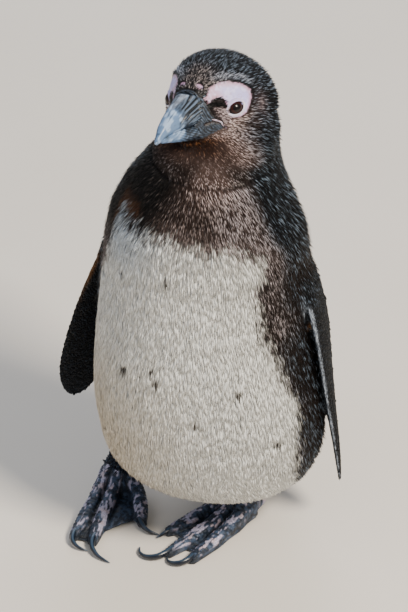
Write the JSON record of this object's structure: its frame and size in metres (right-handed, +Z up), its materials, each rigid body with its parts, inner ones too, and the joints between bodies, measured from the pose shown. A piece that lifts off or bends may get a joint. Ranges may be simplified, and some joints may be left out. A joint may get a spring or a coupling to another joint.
{
  "type": "african penguin",
  "caption": "Young African penguin standing upright, head drawn in and turned slightly aside, flippers hanging, webbed feet toed in, long curved claws.",
  "frame": {"origin": "on the floor, under the middle of the bird's box", "axes": "+Z up from the soles to the crown, -Y the way the bird's breast faces, +X towards the bird's left side"},
  "size_m": [0.2372, 0.2096, 0.4105],
  "materials": {
    "pale_plumage": "soft, close-lying white feathers",
    "dark_plumage": "soft, close-lying slate and brown feathers",
    "foot_skin": "satin, finely scaled, blotched with pink",
    "claw_horn": "smooth horn",
    "bill_horn": "worn, fluted horn",
    "eye": "wet and glossy"
  },
  "bodies": {
    "root": {"trunk": "pale_plumage", "neck": "dark_plumage", "head": "dark_plumage", "tail": "dark_plumage", "flipper_left": "dark_plumage", "flipper_right": "dark_plumage", "leg_left": "dark_plumage", "leg_right": "dark_plumage", "foot_left": "foot_skin", "foot_right": "foot_skin", "claw_left_inner": "claw_horn", "claw_left_middle": "claw_horn", "claw_left_outer": "claw_horn", "claw_right_inner": "claw_horn", "claw_right_middle": "claw_horn", "claw_right_outer": "claw_horn", "bill_upper": "bill_horn", "bill_lower": "bill_horn", "eye_left": "eye", "eye_right": "eye"}
  },
  "joints": []
}
